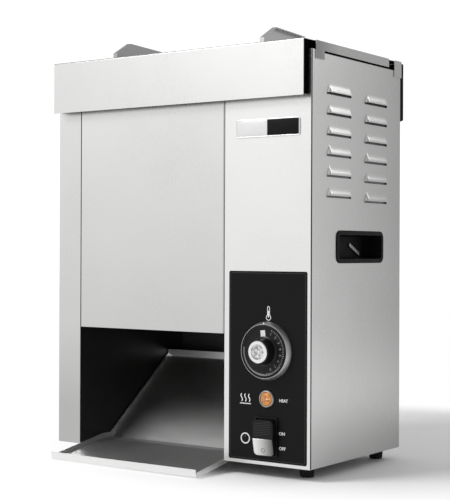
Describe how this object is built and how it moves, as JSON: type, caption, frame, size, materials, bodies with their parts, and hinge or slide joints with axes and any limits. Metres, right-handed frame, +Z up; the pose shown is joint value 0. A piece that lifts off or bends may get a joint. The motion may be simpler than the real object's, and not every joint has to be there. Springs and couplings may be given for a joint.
{
  "type": "vertical toaster",
  "caption": "Countertop vertical contact toaster: buns drop in at the top, ride down a hot platen between belts and slide out over a chute at the front; dial, lamp and rocker on a side column.",
  "frame": {"origin": "centre of the footprint, on the surface that the feet and nothing else stand on", "axes": "+Z up, +Y to the rear, so the front faces -Y, +X to the viewer's right, the control column's side"},
  "size_m": [0.4542, 0.3361, 0.6344],
  "materials": {
    "stainless": "satin brushed stainless, fine grain",
    "feeder_steel": "satin stainless, slightly darker from heat",
    "chute_steel": "satin stainless with fine scratches",
    "chassis_steel": "plain rolled steel",
    "cast_platen": "cast and machined",
    "element_sheath": "heat-tinted sheath",
    "release_film": "coated glass cloth, brown",
    "copper_sensor": "bare copper",
    "roller_metal": "turned",
    "belt_wire": "woven wire",
    "bronze_bush": "sintered bronze",
    "drive_steel": "oiled steel",
    "gearmotor_cast": "die cast",
    "screw_steel": "bright plated",
    "black_rubber": "matt",
    "black_plastic": "fine texture",
    "dial_plastic": "semi-gloss black",
    "overlay_film": "smooth black film with plain marks",
    "badge_metal": "bright, bare",
    "bright_trim": "satin chrome",
    "amber_lens": "amber, faceted",
    "phenolic": "moulded",
    "terminal_white": "ceramic-filled",
    "red_button": "red"
  },
  "bodies": {
    "cabinet": {"base_pan": "chassis_steel", "rubber_feet": "black_rubber", "foot_screws": "screw_steel", "left_side_panel": "stainless", "right_side_panel": "stainless", "control_panel": "stainless", "rear_panel": "stainless", "rear_screws": "screw_steel", "cover_studs": "chassis_steel", "left_chassis_wall": "chassis_steel", "right_chassis_wall": "chassis_steel", "platen_halves": "cast_platen", "platen_posts": "chassis_steel", "heating_element": "element_sheath", "release_sheet": "release_film", "temperature_sensor": "copper_sensor", "shaft_bushes": "bronze_bush", "toasting_belts": "belt_wire", "belt_frames": "chassis_steel", "heat_shields": "chassis_steel", "idler_stud": "drive_steel", "drive_chain": "drive_steel", "gearmotor": "gearmotor_cast", "motor_standoffs": "chassis_steel", "handle_pockets": "black_plastic", "pocket_clips": "bright_trim", "badge_plate": "badge_metal", "control_overlay": "overlay_film", "dial_bezel": "dial_plastic", "thermostat_body": "phenolic", "lamp_bezel": "bright_trim", "lamp_lens": "amber_lens", "lamp_body": "black_plastic", "switch_bezel": "black_plastic", "cable_gland": "black_plastic", "limit_thermostat": "phenolic", "fan_housing": "black_plastic", "terminal_block": "terminal_white"},
    "lid": {"top_cover": "stainless", "feeder_ends": "feeder_steel", "feed_guides": "feeder_steel", "feed_divider": "feeder_steel"},
    "cover": {"front_cover": "stainless"},
    "chute": {"bun_chute": "chute_steel"},
    "dial": {"thermostat_knob": "dial_plastic", "knob_cap": "bright_trim", "thermostat_stem": "drive_steel"},
    "rocker": {"switch_rocker": "black_plastic", "rocker_paddle": "bright_trim"},
    "front_drive": {"front_lower_roller": "roller_metal", "front_drive_sprocket": "drive_steel"},
    "front_idler": {"front_upper_roller": "roller_metal"},
    "rear_drive": {"rear_lower_roller": "roller_metal", "rear_drive_sprocket": "drive_steel"},
    "rear_idler": {"rear_upper_roller": "roller_metal"},
    "motor_output": {"motor_shaft": "drive_steel", "motor_sprocket": "drive_steel"},
    "chain_idler": {"idler_sprocket": "drive_steel"},
    "fan": {"fan_impeller": "black_plastic"},
    "reset": {"reset_button": "red_button"}
  },
  "joints": [
    {"name": "lid_lift", "type": "slide", "parent": "cabinet", "child": "lid", "axis": [0, 0, 1], "range_m": [0, 0.12]},
    {"name": "cover_lift", "type": "slide", "parent": "cabinet", "child": "cover", "axis": [0, 0, 1], "range_m": [0, 0.014]},
    {"name": "chute_slide", "type": "slide", "parent": "cabinet", "child": "chute", "axis": [0, -1, 0], "range_m": [0, 0.2]},
    {"name": "dial_turn", "type": "hinge", "parent": "cabinet", "child": "dial", "pos_m": [0.15445, -0.10295, 0.172], "axis": [0, -1, 0], "range_deg": [0, 225]},
    {"name": "rocker_tip", "type": "hinge", "parent": "cabinet", "child": "rocker", "pos_m": [0.15445, -0.10195, 0.056], "axis": [-1, 0, 0], "range_deg": [0, 12]},
    {"name": "front_drive_spin", "type": "hinge", "parent": "cabinet", "child": "front_drive", "pos_m": [-0.00145, -0.02585, 0.233], "axis": [1, 0, 0], "continuous": true},
    {"name": "front_idler_spin", "type": "hinge", "parent": "cabinet", "child": "front_idler", "pos_m": [-0.00145, -0.02585, 0.536], "axis": [1, 0, 0], "continuous": true},
    {"name": "rear_drive_spin", "type": "hinge", "parent": "cabinet", "child": "rear_drive", "pos_m": [-0.00145, 0.08395, 0.233], "axis": [1, 0, 0], "continuous": true},
    {"name": "rear_idler_spin", "type": "hinge", "parent": "cabinet", "child": "rear_idler", "pos_m": [-0.00145, 0.08395, 0.536], "axis": [1, 0, 0], "continuous": true},
    {"name": "motor_spin", "type": "hinge", "parent": "cabinet", "child": "motor_output", "pos_m": [0.09405, 0.07705, 0.157], "axis": [1, 0, 0], "continuous": true},
    {"name": "chain_idler_spin", "type": "hinge", "parent": "cabinet", "child": "chain_idler", "pos_m": [0.09405, 0.07705, 0.309], "axis": [1, 0, 0], "continuous": true},
    {"name": "fan_spin", "type": "hinge", "parent": "cabinet", "child": "fan", "pos_m": [0.15355, 0.15305, 0.417], "axis": [0, 1, 0], "continuous": true},
    {"name": "reset_press", "type": "slide", "parent": "cabinet", "child": "reset", "axis": [0, -1, 0], "range_m": [0, 0.002], "stiffness_N_per_m": 400}
  ],
  "couplings": [
    {"joint": "front_idler_spin", "follows": "front_drive_spin", "ratio": 1},
    {"joint": "rear_drive_spin", "follows": "front_drive_spin", "ratio": -1},
    {"joint": "rear_idler_spin", "follows": "front_drive_spin", "ratio": -1},
    {"joint": "motor_spin", "follows": "front_drive_spin", "ratio": 1.6},
    {"joint": "chain_idler_spin", "follows": "front_drive_spin", "ratio": 1.6}
  ]
}
